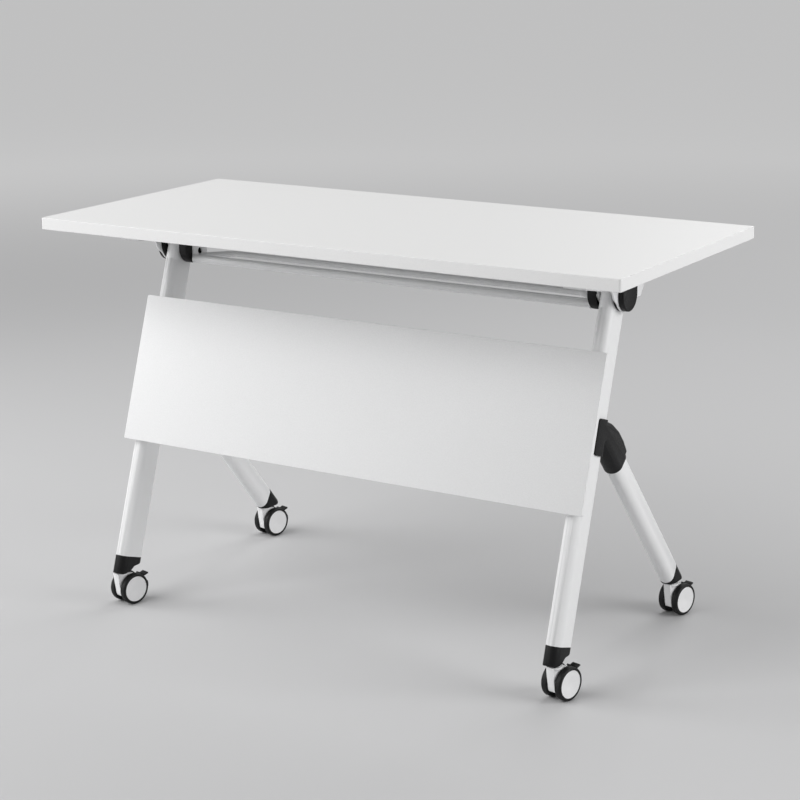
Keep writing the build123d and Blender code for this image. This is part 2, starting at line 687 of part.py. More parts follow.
def below_rear_seam():
    side = outline(
        rear_seam_point(REAR_DEEP),
        rear_seam_point(-REAR_DEEP),
        rear_point(2 * REAR_LENGTH, -REAR_DEEP),
        rear_point(2 * REAR_LENGTH, REAR_DEEP),
    )
    return slab(side, LEG_X - LEG_WIDE, LEG_X + LEG_WIDE)


def rear_leg():
    tube = rear_bar(0, REAR_LENGTH) - rear_bar(0, REAR_LENGTH, -LEG_WALL)
    tube -= above_rear_leg()
    tube -= below_rear_seam()
    tube -= leg_bar(HEAD_LENGTH, LEG_LENGTH)
    return tube - cover_pin_hole()


def cover_pin_place():
    return rear_point(COVER_SLEEVE - COVER_PIN_INSET)


def cover_pin_hole():
    return along_x(COVER_PIN_R, LEG_INNER - COVER_WALL, LEG_INNER + LEG_WALL, *cover_pin_place())


def cover_pin():
    """Screw through the sleeve into the inner side of the rear leg."""
    y, z = cover_pin_place()
    face = LEG_INNER - COVER_WALL
    head = along_x(2 * COVER_PIN_R, face - COVER_PIN_R, face, y, z)
    return head + along_x(COVER_PIN_R, face, LEG_INNER + LEG_WALL, y, z)


def joint_cover():
    """Moulded socket: a saddle on the back of the main leg and a humped sleeve on the rear leg."""
    half = LEG_WIDE / 2 + COVER_WALL
    back = -LEG_DEEP / 2 - COVER_WALL
    window = outline(
        leg_point(SADDLE_TOP, SADDLE_FRONT),
        leg_point(SADDLE_BOTTOM, SADDLE_FRONT),
        leg_point(SADDLE_BOTTOM, back),
        leg_point(SADDLE_TOP, back),
    )
    window = fillet(window.vertices(), SADDLE_CORNER_R)
    saddle = leg_bar(SADDLE_TOP, SADDLE_BOTTOM, COVER_WALL) & slab(window, LEG_X - half, LEG_X + half)
    hump = outline(
        leg_point(SADDLE_TOP, HUMP_FRONT),
        leg_point(SADDLE_TOP, HUMP_TOP),
        *[rear_point(down, behind) for down, behind in HUMP_BACK],
        rear_point(COVER_SLEEVE, HUMP_END),
        rear_point(COVER_SLEEVE, HUMP_LOW),
        rear_point(HUMP_FOOT, HUMP_LOW),
        leg_point(SADDLE_BOTTOM - HUMP_FOOT_LIFT, HUMP_FRONT),
    )
    hump = fillet(hump.vertices(), SADDLE_CORNER_R / 2)
    hump = slab(hump, LEG_X - half, LEG_X + half)
    sides = hump.faces().filter_by(Axis.X).edges()
    hump = fillet(sides, COVER_ROUND_R)
    sleeve = rear_bar(COVER_SLEEVE_START, COVER_SLEEVE, COVER_WALL) - above_rear_leg()
    cover = saddle + hump + sleeve
    beyond = outline(
        leg_point(0, SADDLE_FRONT),
        leg_point(LEG_LENGTH, SADDLE_FRONT),
        leg_point(LEG_LENGTH, LEG_LENGTH),
        leg_point(0, LEG_LENGTH),
    )
    cover -= slab(beyond, LEG_INNER - LEG_WIDE, LEG_OUTER + LEG_WIDE)
    cover -= leg_bar(HEAD_LENGTH, LEG_LENGTH)
    cover -= rear_bar(0, REAR_LENGTH) - above_rear_leg()
    return cover.solids().sort_by(SortBy.VOLUME)[-1] - cover_pin_hole()


def stem_bore(stem_y):
    return Pos(STEM_X, stem_y, 0) * Cylinder(STEM_R + RUN_CLEAR, STEM_TOP + 1.0, align=BASE)


def foot_cap(bar, side, plug, stem_y):
    """Cap that closes a leg, cut to its side view, with the plug and the stem's socket."""
    cap = bar & slab(side, LEG_X - LEG_WIDE, LEG_X + LEG_WIDE)
    return cap + plug - stem_bore(stem_y)


def round_corner(face, point, radius):
    """Round the corner of a flat outline that lies nearest to a point."""
    return fillet(face.vertices().sort_by_distance((*point, 0))[0], radius)


def front_foot_cap():
    """Flush with the leg in front; its underside steps up to a thin heel behind the caster stem."""
    half = LEG_DEEP / 2
    lean = radians(LEG_LEAN)
    toe = leg_point((PIVOT_Z + half * sin(lean) - CAP_BOTTOM) / cos(lean), half)
    heel = leg_point((PIVOT_Z - half * sin(lean) - FRONT_HEEL_Z) / cos(lean), -half)
    step_start = (FRONT_STEM_Y + FRONT_STEP_START, CAP_BOTTOM)
    step_end = (FRONT_STEM_Y + FRONT_STEP_END, FRONT_HEEL_Z)
    side = outline(
        leg_point(LEG_LENGTH, half), toe, step_start, step_end, heel, leg_point(LEG_LENGTH, -half)
    )
    side = round_corner(side, toe, FRONT_TOE_R)
    side = round_corner(side, step_start, FRONT_STEP_R)
    side = round_corner(side, step_end, FRONT_STEP_R)
    side = round_corner(side, heel, FRONT_HEEL_R)
    bar = leg_bar(LEG_LENGTH, LEG_LENGTH + 2 * half)
    plug = leg_bar(LEG_LENGTH - PLUG_LENGTH, LEG_LENGTH, -LEG_WALL - PLUG_CLEAR)
    return foot_cap(bar, side, plug, FRONT_STEM_Y)


def rear_foot_cap():
    """Thin under the front of the rear leg, with a full round heel behind."""
    half = REAR_DEEP / 2
    lean = radians(REAR_LEAN)
    toe = rear_point((JUNCTION_Z - half * sin(lean) - CAP_BOTTOM) / cos(lean), -half)
    heel_down = (JUNCTION_Z + half * sin(lean) - CAP_BOTTOM) / cos(lean)
    heel = rear_point(heel_down, half)
    side = outline(rear_seam_point(half), heel, toe, rear_seam_point(-half))
    side = round_corner(side, heel, REAR_HEEL_R)
    side = round_corner(side, toe, REAR_TOE_R)
    bar = rear_bar(REAR_LENGTH - REAR_SLANT, heel_down)
    plug = rear_bar(REAR_LENGTH - PLUG_LENGTH, REAR_LENGTH, -LEG_WALL - PLUG_CLEAR)
    return foot_cap(bar, side, plug, REAR_STEM_Y)


# Modesty panel -------------------------------------------------------------------------------


def modesty_panel():
    base = panel_plane() * Pos(0, -PANEL_FROM_PIVOT, PANEL_BACK)
    tray = extrude(RectangleRounded(PANEL_LENGTH, PANEL_HEIGHT, PANEL_CORNER_R), amount=PANEL_DEPTH)
    lining = RectangleRounded(
        PANEL_LENGTH - 2 * PANEL_STEEL, PANEL_HEIGHT - 2 * PANEL_STEEL, PANEL_CORNER_R - PANEL_STEEL
    )
    tray -= extrude(lining, amount=PANEL_DEPTH - PANEL_STEEL)
    return base * tray


def panel_block(place):
    start = LEG_DEEP / 2 - BLOCK_WRAP
    end = PANEL_FRONT - PANEL_STEEL
    block = extrude(RectangleRounded(BLOCK_WIDE, BLOCK_TALL, PANEL_GAP), amount=end - start)
    block = panel_plane() * Pos(place[0], place[1], start) * block
    block -= leg_bar(HEAD_LENGTH, LEG_LENGTH)
    return block - screw_on_panel_plane(PANEL_SCREW_R, 0, panel_screw_tip(), place)


def panel_screw_tip():
    return PANEL_FRONT - 2 * PANEL_STEEL


def panel_screw(place):
    seat = -LEG_DEEP / 2
    head = screw_on_panel_plane(PANEL_SCREW_HEAD_R, seat - PANEL_SCREW_HEAD, seat, place)
    return head + screw_on_panel_plane(PANEL_SCREW_R, seat, panel_screw_tip(), place)


# Casters: drawn with the stem on Z, the axle along X and the trail along Y ----------------------


def pedal_pin_place():
    return polar(TRAIL, WHEEL_R, PEDAL_PIN_REACH, PEDAL_PIN_ANGLE)


def caster_body():
    side = disc(WEB_R, TRAIL, WHEEL_R) + outline(
        (-NECK_R, NECK_TOP),
        (-NECK_R + 1.5, STEM_BOTTOM),
        (TRAIL - WEB_R, WHEEL_R),
        (TRAIL, WHEEL_R),
        (TRAIL + WEB_R / 2, WHEEL_R + 0.85 * WEB_R),
        (NECK_R, NECK_TOP - NECK_THICK),
        (NECK_R, NECK_TOP),
    )
    side -= Pos(TRAIL, WEB_BOTTOM) * Rectangle(4 * WEB_R, WEB_R, align=(Align.CENTER, Align.MAX))
    body = slab(side, -WEB_HALF, WEB_HALF)
    body += Pos(0, 0, NECK_TOP - NECK_THICK) * Cylinder(NECK_R, NECK_THICK, align=BASE)
    pin = pedal_pin_place()
    notch = disc(PEDAL_EYE_R + PEDAL_PAD_GAP, *pin)
    notch += outline(
        pin,
        polar(*pin, WHEEL_R, -65),
        polar(*pin, 3 * WHEEL_R, 30),
        polar(*pin, WHEEL_R, 125),
    )
    body -= slab(notch, -PEDAL_SLOT_HALF, PEDAL_SLOT_HALF)
    body -= Pos(0, 0, STEM_BOTTOM) * Cylinder(STEM_R, NECK_TOP, align=BASE)
    body -= along_x(AXLE_R, -WEB_HALF, WEB_HALF, TRAIL, WHEEL_R)
    return body - along_x(PEDAL_PIN_R, -WEB_HALF, WEB_HALF, *pin)


def caster_pins():
    """Stem with its collar, axle and pedal pin."""
    stem = Pos(0, 0, STEM_BOTTOM) * Cylinder(STEM_R, STEM_TOP - STEM_BOTTOM, align=BASE)
    stem = chamfer(stem.edges().sort_by(Axis.Z)[-1], 1.0)
    stem += Pos(0, 0, NECK_TOP) * Cylinder(COLLAR_R, CAP_BOTTOM - NECK_TOP - WASHER_SLACK, align=BASE)
    axle = along_x(AXLE_R, -AXLE_HALF, AXLE_HALF, TRAIL, WHEEL_R)
    pin = along_x(PEDAL_PIN_R, -WEB_HALF, WEB_HALF, *pedal_pin_place())
    return [stem, axle, pin]


def brake_pedal():
    """Lever between the wheels, with a pad round their back and a tab for the foot."""
    pin = pedal_pin_place()
    inner = WHEEL_R + PEDAL_PAD_GAP
    outer = inner + PEDAL_PAD
    side = disc(PEDAL_EYE_R, *pin)
    side += outline(
        polar(*pin, PEDAL_EYE_R, 130),
        polar(*pin, PEDAL_EYE_R, -80),
        polar(TRAIL, WHEEL_R, inner + 1.0, PEDAL_PAD_ANGLE / 3),
        polar(TRAIL, WHEEL_R, inner + 1.0, PEDAL_PAD_ANGLE),
    )
    lever = slab(side, -PEDAL_HALF, PEDAL_HALF)
    ring = disc(outer, TRAIL, WHEEL_R) - disc(inner, TRAIL, WHEEL_R)
    wedge = outline(
        (TRAIL, WHEEL_R),
        polar(TRAIL, WHEEL_R, 2 * outer, 0),
        polar(TRAIL, WHEEL_R, 2 * outer, PEDAL_PAD_ANGLE / 2),
        polar(TRAIL, WHEEL_R, 2 * outer, PEDAL_PAD_ANGLE),
    )
    lever += slab(ring & wedge, -PEDAL_PAD_HALF, PEDAL_PAD_HALF)
    wing = disc(inner + PEDAL_WING, TRAIL, WHEEL_R) - disc(inner, TRAIL, WHEEL_R)
    wing &= outline(
        (TRAIL, WHEEL_R),
        polar(TRAIL, WHEEL_R, 2 * outer, PEDAL_WING_LOW),
        polar(TRAIL, WHEEL_R, 2 * outer, PEDAL_WING_HIGH),
    )
    lever += slab(wing, -PEDAL_WING_HALF, PEDAL_WING_HALF)
    neck = outline(
        polar(TRAIL, WHEEL_R, inner + 0.5, PEDAL_PAD_ANGLE),
        polar(TRAIL, WHEEL_R, inner + 0.5, PEDAL_PAD_ANGLE / 2),
        polar(*PEDAL_HEAD_MIDDLE, PEDAL_HEAD_DEEP / 3, PEDAL_HEAD_TILT),
        polar(*PEDAL_HEAD_MIDDLE, PEDAL_HEAD_DEEP / 3, PEDAL_HEAD_TILT + 180),
    )
    lever += slab(neck, -PEDAL_NECK_HALF, PEDAL_NECK_HALF)
    head = Box(2 * PEDAL_PAD_HALF, PEDAL_HEAD_DEEP, PEDAL_HEAD_TALL, align=BASE)
    head = fillet(head.edges(), PEDAL_HEAD_R)
    lever += Pos(0, *PEDAL_HEAD_MIDDLE) * Rot(PEDAL_HEAD_TILT, 0, 0) * head
    return lever - along_x(PEDAL_PIN_R + RUN_CLEAR, -PEDAL_HALF, PEDAL_HALF, *pin)


def tyre(x0):
    ring = along_x(WHEEL_R, x0, x0 + WHEEL_THICK, TRAIL, WHEEL_R)
    ring = fillet(ring.edges().filter_by(GeomType.CIRCLE), TREAD_EDGE_R)
    return ring - along_x(RIM_R, x0, x0 + WHEEL_THICK, TRAIL, WHEEL_R)


def wheel_hub():
    """Hub of the wheel on the +X side: closed outside, bored for the axle from the inside."""
    inner = WHEEL_GAP / 2 + HUB_FACE / 2
    outer = WHEEL_GAP / 2 + WHEEL_THICK - HUB_INSET
    hub = along_x(RIM_R, inner, outer, TRAIL, WHEEL_R)
    hub -= along_x(RIM_R - 3.0, outer - HUB_FACE, outer, TRAIL, WHEEL_R)
    hub += along_x(RIM_R / 3, inner, outer, TRAIL, WHEEL_R)
    return hub - along_x(AXLE_R + RUN_CLEAR, inner, AXLE_HALF + RUN_CLEAR, TRAIL, WHEEL_R)


# Assembly ------------------------------------------------------------------------------------


nodes = {}


def add_pair(name, shape):
    nodes[name + "_right"] = shape
    nodes[name + "_left"] = mirrored(shape)


def add_group(name, shapes):
    nodes[name] = Compound([solid for shape in shapes for solid in shape.solids()])


nodes["tabletop_board"] = tabletop_board()
nodes["edge_band"] = edge_band()
nodes["tie_tube"] = tie_tube()
nodes["modesty_panel"] = modesty_panel()
nodes["release_rod"] = release_rod()

add_pair("arm", arm())
add_pair("outer_cover", outer_cover())
add_pair("inner_cover", inner_cover())
add_pair("leg_head", leg_head())
add_pair("main_leg", main_leg())
add_pair("rear_leg", rear_leg())
add_pair("joint_cover", joint_cover())
add_pair("front_foot_cap", front_foot_cap())
add_pair("rear_foot_cap", rear_foot_cap())

top_screws = [wood_screw(ARM_MIDDLE, y) for y in ARM_SCREW_YS]
top_screws += [cover_screw(y) for y in cover_screw_ys()]
frame_screws = [panel_screw(place) for place in panel_block_places()] + [cover_pin()]
both_sides = {
    "lock_discs": [lock_disc()],
    "arm_plugs": [arm_plug(), mirror(arm_plug(), about=Plane.XZ)],
    "pivot_bolts": [pivot_bolt(), pivot_nut()],
    "pivot_washers": pivot_washers(),
    "latch_plates": [latch_plate()],
    "latch_springs": [latch_spring()],
    "panel_blocks": [panel_block(place) for place in panel_block_places()],
    "frame_screws": frame_screws,
    "top_screws": top_screws,
}
for name, shapes in both_sides.items():
    add_group(name, shapes + [mirrored(shape) for shape in shapes])

stems = {
    "front_right": (STEM_X, FRONT_STEM_Y),
    "front_left": (-STEM_X, FRONT_STEM_Y),
    "rear_right": (STEM_X, REAR_STEM_Y),
    "rear_left": (-STEM_X, REAR_STEM_Y),
}
caster_pieces = {
    "body": [caster_body()],
    "pins": caster_pins(),
    "brake_pedal": [brake_pedal()],
    "tyre_a": [tyre(WHEEL_GAP / 2)],
    "tyre_b": [tyre(-WHEEL_GAP / 2 - WHEEL_THICK)],
    "hub_a": [wheel_hub()],
    "hub_b": [mirrored(wheel_hub())],
}
for corner, (x, y) in stems.items():
    stand = Pos(x, y, 0) * Rot(0, 0, CASTER_TURN)
    for piece, shapes in caster_pieces.items():
        add_group(f"caster_{corner}_{piece}", [stand * shape for shape in shapes])

os.makedirs("parts", exist_ok=True)
for name, shape in nodes.items():
    shape.label = name
    export_step(shape, f"parts/{name}.step")

print(len(nodes), "nodes written")
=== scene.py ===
import json
import math

import bpy
from mathutils import Euler, Matrix, Vector


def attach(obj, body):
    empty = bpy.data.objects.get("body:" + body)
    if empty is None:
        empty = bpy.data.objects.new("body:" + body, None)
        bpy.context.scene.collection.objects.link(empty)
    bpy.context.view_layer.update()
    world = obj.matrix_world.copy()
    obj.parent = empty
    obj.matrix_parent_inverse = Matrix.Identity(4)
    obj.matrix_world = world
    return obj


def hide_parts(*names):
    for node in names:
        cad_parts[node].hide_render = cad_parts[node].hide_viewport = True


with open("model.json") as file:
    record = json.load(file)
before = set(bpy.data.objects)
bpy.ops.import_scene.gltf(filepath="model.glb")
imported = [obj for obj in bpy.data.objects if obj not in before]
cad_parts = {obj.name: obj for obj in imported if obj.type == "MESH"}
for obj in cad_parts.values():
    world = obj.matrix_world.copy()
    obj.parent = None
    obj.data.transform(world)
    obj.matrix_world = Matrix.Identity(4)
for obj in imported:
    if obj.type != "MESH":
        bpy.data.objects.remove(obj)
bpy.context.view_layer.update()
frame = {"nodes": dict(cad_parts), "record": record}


# camera, floor and lamps

viewpoint = {
    "place": (1.9768, -3.1350, 1.3929),
    "turn": 31.277,  # degrees round the table from straight in front
    "down": 13.17,
    "tilt": -0.47,
    "lens": 92.147,
    "sensor": 36.0,
    "shift": (-0.0320, -0.0743),  # the lens's middle lies off the frame's middle
    "farthest": 200.0,
}

floorLook = {
    "size": 60.0,
    "colour": (0.535, 0.535, 0.540),
    "roughness": 0.8,
    "liftFrom": 2.6,  # metres from the table where the far floor starts to look lighter
    "liftTo": 6.4,
    "lift": 0.325,
}

lamps = {  # place, aim, size, watts
    "keyLow": ((-2.5, -4.2, 0.9), (0.0, 0.0, 0.6), 1.4, 22.0),
    "keySide": ((-3.2, -1.4, 1.5), (0.0, 0.0, 0.5), 1.6, 40.0),
    "keyHigh": ((-1.6, -2.6, 3.0), (0.0, 0.0, 0.55), 2.0, 58.0),
    "fillRight": ((3.6, 0.6, 1.6), (0.2, 0.0, 0.5), 2.0, 72.0),
    "highLeft": ((-2.5, -0.5, 3.6), (0.0, 0.0, 0.6), 2.5, 28.0),
    "behind": ((0.0, 3.5, 3.0), (0.0, 0.0, 0.5), 2.5, 49.0),
}

skyLook = {
    "colour": (1.0, 1.0, 1.0),
    "strength": 0.35,
    "seen": 0.52,  # what the camera sees of it, as light as the far floor
}


def addCamera():
    camera = bpy.data.objects.new("camera", bpy.data.cameras.new("camera"))
    bpy.context.collection.objects.link(camera)
    swing = Euler((math.radians(90 - viewpoint["down"]), 0, math.radians(viewpoint["turn"])))
    turn = swing.to_matrix() @ Matrix.Rotation(math.radians(viewpoint["tilt"]), 3, "Z")
    camera.matrix_world = Matrix.Translation(viewpoint["place"]) @ turn.to_4x4()
    camera.data.lens = viewpoint["lens"]
    camera.data.sensor_width = viewpoint["sensor"]
    camera.data.shift_x, camera.data.shift_y = viewpoint["shift"]
    camera.data.clip_end = viewpoint["farthest"]
    bpy.context.scene.camera = camera


def addFloor():
    bpy.ops.mesh.primitive_plane_add(size=floorLook["size"])
    floor = bpy.context.object
    floor.name = "studioFloor"
    paint = bpy.data.materials.new("studioFloor")
    paint.use_nodes = True
    nodes = paint.node_tree.nodes
    links = paint.node_tree.links
    shader = nodes["Principled BSDF"]
    shader.inputs["Base Color"].default_value = (*floorLook["colour"], 1)
    shader.inputs["Roughness"].default_value = floorLook["roughness"]
    shader.inputs["Emission Color"].default_value = (1, 1, 1, 1)
    where = nodes.new("ShaderNodeTexCoord")
    far = nodes.new("ShaderNodeVectorMath")
    far.operation = "LENGTH"
    rise = nodes.new("ShaderNodeMapRange")
    rise.interpolation_type = "SMOOTHSTEP"
    rise.inputs["From Min"].default_value = floorLook["liftFrom"]
    rise.inputs["From Max"].default_value = floorLook["liftTo"]
    rise.inputs["To Max"].default_value = floorLook["lift"]
    path = nodes.new("ShaderNodeLightPath")
    eitherRay = nodes.new("ShaderNodeMath")
    eitherRay.operation = "MAXIMUM"
    seen = nodes.new("ShaderNodeMath")
    seen.operation = "MULTIPLY"
    links.new(where.outputs["Object"], far.inputs[0])
    links.new(far.outputs["Value"], rise.inputs["Value"])
    links.new(rise.outputs["Result"], seen.inputs[0])
    links.new(path.outputs["Is Camera Ray"], eitherRay.inputs[0])
    links.new(path.outputs["Is Glossy Ray"], eitherRay.inputs[1])
    links.new(eitherRay.outputs["Value"], seen.inputs[1])
    links.new(seen.outputs["Value"], shader.inputs["Emission Strength"])
    floor.data.materials.append(paint)


def addLamps():
    for name, (place, aim, size, watts) in lamps.items():
        light = bpy.data.lights.new(name, "AREA")
        light.size = size
        light.energy = watts
        lamp = bpy.data.objects.new(name, light)
        lamp.location = place
        lamp.rotation_euler = (Vector(aim) - Vector(place)).to_track_quat("-Z", "Y").to_euler()
        bpy.context.collection.objects.link(lamp)
    world = bpy.data.worlds.new("studio")
    bpy.context.scene.world = world
    world.use_nodes = True
    sky = world.node_tree.nodes["Background"]
    sky.inputs["Color"].default_value = (*skyLook["colour"], 1)
    path = world.node_tree.nodes.new("ShaderNodeLightPath")
    level = world.node_tree.nodes.new("ShaderNodeMapRange")
    level.inputs["To Min"].default_value = skyLook["strength"]
    level.inputs["To Max"].default_value = skyLook["seen"]
    world.node_tree.links.new(path.outputs["Is Camera Ray"], level.inputs["Value"])
    world.node_tree.links.new(level.outputs["Result"], sky.inputs["Strength"])


addCamera()
addFloor()
addLamps()
bpy.context.scene.view_settings.view_transform = "Standard"
print("camera, floor and lamps are in")


# finishes: scales are grains per metre, bump heights are metres

looks = {
    "melaminePearl": {  # tabletop face
        "light": (0.815, 0.815, 0.812),
        "dark": (0.780, 0.780, 0.777),
        "toneScale": 1400.0,
        "glossScale": 900.0,
        "rough": (0.42, 0.52),
        "bumpScale": 1100.0,
        "bumpHeight": 0.00007,
        "under": ((0.42, 0.42, 0.42), 0.7285),  # painted shade: darker grey below this height, on the board's underside
    },
    "edgeStrip": {
        "light": (0.810, 0.810, 0.808),
        "dark": (0.785, 0.785, 0.783),
        "toneScale": 900.0,
        "glossScale": 600.0,
        "rough": (0.36, 0.44),
        "bumpScale": 900.0,
        "bumpHeight": 0.00004,
    },
    "whitePowderCoat": {
        "light": (0.812, 0.815, 0.818),
        "dark": (0.785, 0.788, 0.792),
        "toneScale": 1100.0,
        "glossScale": 700.0,
        "rough": (0.34, 0.42),
        "bumpScale": 800.0,
        "bumpHeight": 0.00005,
    },
    "textureCoat": {  # coarser coat of the modesty panel
        "light": (0.822, 0.824, 0.826),
        "dark": (0.765, 0.767, 0.770),
        "toneScale": 900.0,
        "glossScale": 500.0,
        "rough": (0.46, 0.58),
        "bumpScale": 1000.0,
        "bumpHeight": 0.00018,
    },
    "grainedBlack": {
        "light": (0.0085, 0.0085, 0.0089),
        "dark": (0.0045, 0.0045, 0.0048),
        "toneScale": 700.0,
        "glossScale": 500.0,
        "rough": (0.42, 0.56),
        "bumpScale": 1300.0,
        "bumpHeight": 0.00010,
        "shine": 0.20,
    },
    "casterWhite": {
        "light": (0.820, 0.820, 0.825),
        "dark": (0.795, 0.795, 0.800),
        "toneScale": 500.0,
        "glossScale": 400.0,
        "rough": (0.36, 0.46),
        "bumpScale": 1200.0,
        "bumpHeight": 0.00004,
    },
    "casterBlack": {
        "light": (0.0085, 0.0085, 0.0089),
        "dark": (0.0045, 0.0045, 0.0048),
        "toneScale": 500.0,
        "glossScale": 400.0,
        "rough": (0.32, 0.44),
        "bumpScale": 1100.0,
        "bumpHeight": 0.00004,
        "shine": 0.25,
    },
    "softTread": {
        "light": (0.0110, 0.0110, 0.0115),
        "dark": (0.0050, 0.0050, 0.0053),
        "toneScale": 420.0,
        "glossScale": 300.0,
        "rough": (0.46, 0.62),
        "bumpScale": 900.0,
        "bumpHeight": 0.00008,
        "shine": 0.25,
    },
    "zincPlate": {
        "light": (0.70, 0.70, 0.71),
        "dark": (0.55, 0.56, 0.59),
        "toneScale": 360.0,
        "glossScale": 260.0,
        "rough": (0.24, 0.38),
        "bumpScale": 1500.0,
        "bumpHeight": 0.00003,
        "metal": 1.0,
    },
    "castAlloy": {
        "light": (0.66, 0.66, 0.67),
        "dark": (0.48, 0.48, 0.49),
        "toneScale": 400.0,
        "glossScale": 300.0,
        "rough": (0.45, 0.62),
        "bumpScale": 700.0,
        "bumpHeight": 0.00012,
        "metal": 1.0,
    },
}

grainWork = {  # how every finish's noise is turned into tone, gloss and bump
    "toneFrom": 0.35,
    "toneTo": 0.65,
    "toneDetail": 3.0,
    "glossFrom": 0.3,
    "glossTo": 0.7,
    "fineDetail": 2.0,
    "bumpStrength": 0.6,
    "plainShine": 0.5,
}

finishOfSlot = {
    "laminate": "melaminePearl",
    "edge_plastic": "edgeStrip",
    "white_powder_coat": "whitePowderCoat",
    "black_plastic": "grainedBlack",
    "bright_steel": "zincPlate",
    "block_alloy": "castAlloy",
    "white_plastic": "casterWhite",
    "black_caster_plastic": "casterBlack",
    "black_tread": "softTread",
}


def makeFinish(name, look):
    paint = bpy.data.materials.new(name)
    paint.use_nodes = True
    nodes = paint.node_tree.nodes
    links = paint.node_tree.links
    shader = nodes["Principled BSDF"]
    shader.inputs["Metallic"].default_value = look.get("metal", 0.0)
    shader.inputs["Specular IOR Level"].default_value = look.get("shine", grainWork["plainShine"])
    where = nodes.new("ShaderNodeTexCoord")

    def grain(scale, detail):
        noise = nodes.new("ShaderNodeTexNoise")
        noise.inputs["Scale"].default_value = scale
        noise.inputs["Detail"].default_value = detail
        links.new(where.outputs["Object"], noise.inputs["Vector"])
        return noise.outputs["Fac"]

    tone = nodes.new("ShaderNodeValToRGB")
    tone.color_ramp.elements[0].position = grainWork["toneFrom"]
    tone.color_ramp.elements[0].color = (*look["dark"], 1)
    tone.color_ramp.elements[1].position = grainWork["toneTo"]
    tone.color_ramp.elements[1].color = (*look["light"], 1)
    links.new(grain(look["toneScale"], grainWork["toneDetail"]), tone.inputs["Fac"])
    colour = tone.outputs["Color"]
    # painted shade: below the given height the board's colour is swapped for a darker grey
    if "under" in look:
        shadeColour, shadeBelowHeight = look["under"]
        split = nodes.new("ShaderNodeSeparateXYZ")
        links.new(where.outputs["Object"], split.inputs["Vector"])
        above = nodes.new("ShaderNodeMath")
        above.operation = "GREATER_THAN"
        above.inputs[1].default_value = shadeBelowHeight
        links.new(split.outputs["Z"], above.inputs[0])
        shadeMix = nodes.new("ShaderNodeMix")
        shadeMix.data_type = "RGBA"
        shadeMix.inputs[6].default_value = (*shadeColour, 1)  # 6 and 7 are its two colours
        links.new(above.outputs["Value"], shadeMix.inputs["Factor"])
        links.new(colour, shadeMix.inputs[7])
        colour = shadeMix.outputs[2]
    links.new(colour, shader.inputs["Base Color"])

    gloss = nodes.new("ShaderNodeMapRange")
    gloss.inputs["From Min"].default_value = grainWork["glossFrom"]
    gloss.inputs["From Max"].default_value = grainWork["glossTo"]
    gloss.inputs["To Min"].default_value = look["rough"][0]
    gloss.inputs["To Max"].default_value = look["rough"][1]
    links.new(grain(look["glossScale"], grainWork["fineDetail"]), gloss.inputs["Value"])
    links.new(gloss.outputs["Result"], shader.inputs["Roughness"])

    bump = nodes.new("ShaderNodeBump")
    bump.inputs["Strength"].default_value = grainWork["bumpStrength"]
    bump.inputs["Distance"].default_value = look["bumpHeight"]
    links.new(grain(look["bumpScale"], grainWork["fineDetail"]), bump.inputs["Height"])
    links.new(bump.outputs["Normal"], shader.inputs["Normal"])
    return paint


finishes = {name: makeFinish(name, look) for name, look in looks.items()}


def coat(piece, finish):
    piece.data.materials.clear()
    piece.data.materials.append(finishes[finish])


slotOfNode = {}
bodyOfNode = {}
for part in frame["record"]["subparts"]:
    slotOfNode[part["node"]] = part["material_slot"]
    coat(frame["nodes"][part["node"]], finishOfSlot[part["material_slot"]])
for body, members in frame["record"]["behaviour"]["bodies"].items():
    for member in members:
        bodyOfNode[member] = body
coat(frame["nodes"]["modesty_panel"], "textureCoat")
print("finishes are on the nodes")


# shared steps

meshWork = {
    "weld": 0.00001,
    "fineWeld": 0.000001,
    "flat": 0.4,  # degrees between faces that still count as one
    "sharp": 35.0,  # degrees from which an edge is rounded
    "smooth": 32.0,  # degrees up to which shading is smooth
}


def dropSelection():
    if bpy.context.object and bpy.context.object.mode == "EDIT":
        bpy.ops.object.mode_set(mode="OBJECT")
    bpy.ops.object.select_all(action="DESELECT")


def takeUp(piece):
    dropSelection()
    piece.select_set(True)
    bpy.context.view_layer.objects.active = piece


def editAll(piece):
    takeUp(piece)
    bpy.ops.object.mode_set(mode="EDIT")
    bpy.ops.mesh.select_all(action="SELECT")


def chooseFaces(piece, wanted):
    # leaves edit mode and comes back with only the wanted faces selected
    bpy.ops.object.mode_set(mode="OBJECT")
    for face in piece.data.polygons:
        face.select = bool(wanted(face))
    for edge in piece.data.edges:
        edge.select = False
    for vertex in piece.data.vertices:
        vertex.select = False
    bpy.ops.object.mode_set(mode="EDIT")
    bpy.ops.mesh.select_mode(type="FACE")


def chooseEdges(piece, wanted):
    bpy.ops.object.mode_set(mode="OBJECT")
    for face in piece.data.polygons:
        face.select = False
    for vertex in piece.data.vertices:
        vertex.select = False
    for edge in piece.data.edges:
        ends = [piece.data.vertices[i].co for i in edge.vertices]
        edge.select = bool(wanted(*ends))
    bpy.ops.object.mode_set(mode="EDIT")
    bpy.ops.mesh.select_mode(type="EDGE")


def applyPlace(piece):
    takeUp(piece)
    bpy.ops.object.transform_apply(location=True, rotation=True, scale=True)


def roundEdges(piece, width, steps):
    takeUp(piece)
    bevel = piece.modifiers.new("soften", "BEVEL")
    bevel.width = width
    bevel.segments = steps
    bevel.limit_method = "ANGLE"
    bevel.angle_limit = math.radians(meshWork["sharp"])
    bpy.ops.object.modifier_apply(modifier="soften")


def smoothSides(piece, angle=meshWork["smooth"]):
    takeUp(piece)
    bpy.ops.object.shade_smooth_by_angle(angle=math.radians(angle))


def standIn(piece, *nodeNames):
    first = nodeNames[0]
    if not piece.data.materials:
        coat(piece, finishOfSlot[slotOfNode[first]])
    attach(piece, bodyOfNode[first])
    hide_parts(*nodeNames)


